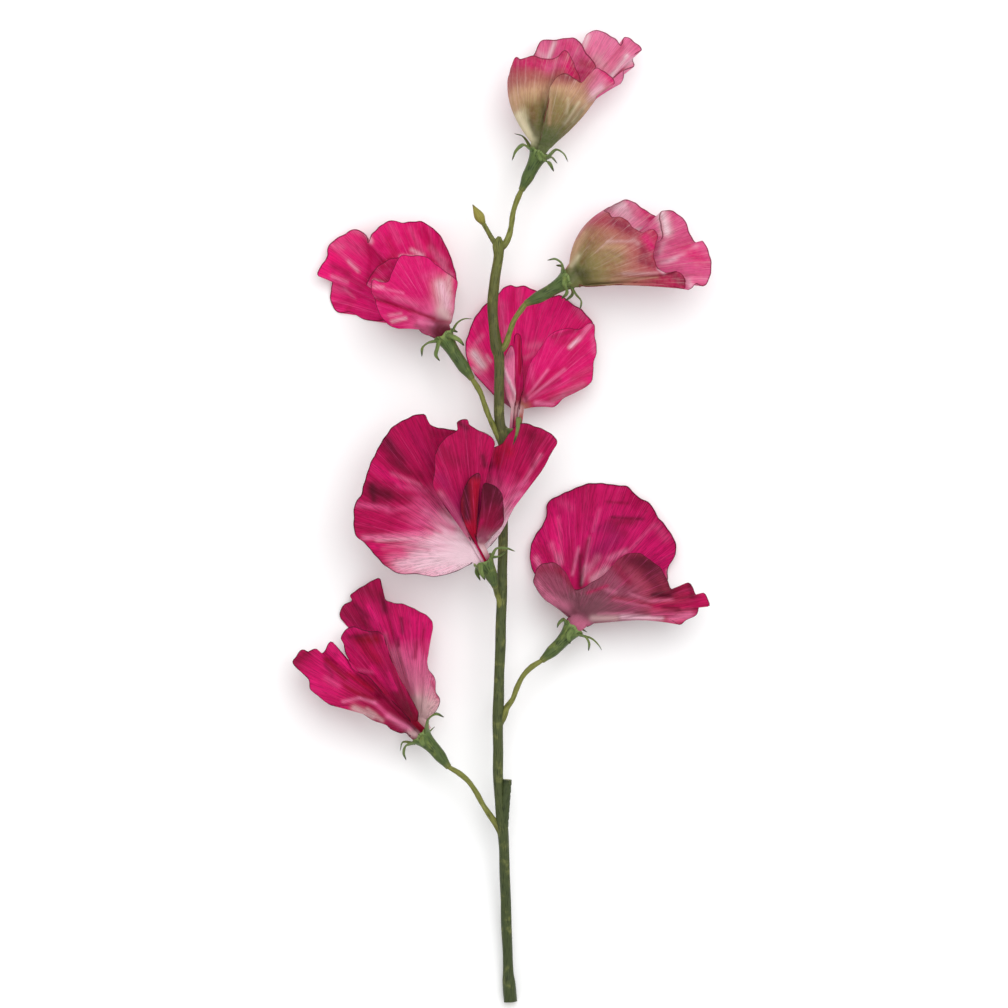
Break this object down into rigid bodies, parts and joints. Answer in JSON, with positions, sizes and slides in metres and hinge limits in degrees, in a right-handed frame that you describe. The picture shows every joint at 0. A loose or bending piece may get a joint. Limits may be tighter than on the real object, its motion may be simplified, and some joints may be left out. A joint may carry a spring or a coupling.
{
  "type": "sweet pea flower spray",
  "caption": "Cut sweet pea spray lying on a surface: a green forked stem with calyces, a small bud and ruffled pink to crimson blooms.",
  "frame": {"origin": "centre of the spray's footprint, on the surface it lies on", "axes": "+Y along the stem from its cut end to the tip, +Z up from the surface, +X to the right when looking down with +Y up"},
  "size_m": [0.1259, 0.2924, 0.0313],
  "materials": {
    "stem_green": "matt olive green, fine ribs along the stem, paler branches",
    "calyx_green": "matt leaf green, paler sepals with dark tips",
    "bud_green": "matt yellow-green with a pointed tip",
    "petal_blush": "soft matt petal, olive cream at the base running into rose and a crimson edge",
    "petal_magenta": "soft matt petal, bright magenta with pale streaks and fine veins",
    "petal_crimson": "soft matt petal, deep crimson with a pale pink throat and fine veins"
  },
  "bodies": {
    "root": {"stem": "stem_green", "bud": "bud_green", "calyx_top": "calyx_green", "petal_standard_top": "petal_blush", "petal_wing_right_top": "petal_blush", "petal_wing_left_top": "petal_blush", "calyx_upper_right": "calyx_green", "petal_standard_upper_right": "petal_blush", "petal_wing_right_upper_right": "petal_blush", "petal_wing_left_upper_right": "petal_blush", "calyx_upper_left": "calyx_green", "petal_standard_upper_left": "petal_magenta", "petal_wing_right_upper_left": "petal_magenta", "petal_wing_left_upper_left": "petal_magenta", "calyx_rear": "calyx_green", "petal_standard_rear": "petal_magenta", "petal_wing_right_rear": "petal_magenta", "petal_wing_left_rear": "petal_magenta", "petal_keel_rear": "petal_magenta", "calyx_centre": "calyx_green", "petal_standard_centre": "petal_crimson", "petal_wing_left_centre": "petal_crimson", "petal_wing_right_centre": "petal_crimson", "petal_keel_centre": "petal_crimson", "calyx_lower_right": "calyx_green", "petal_standard_lower_right": "petal_crimson", "petal_wings_lower_right": "petal_crimson", "calyx_lower_left": "calyx_green", "petal_standard_lower_left": "petal_crimson", "petal_wing_right_lower_left": "petal_crimson", "petal_wing_left_lower_left": "petal_crimson"}
  },
  "joints": []
}
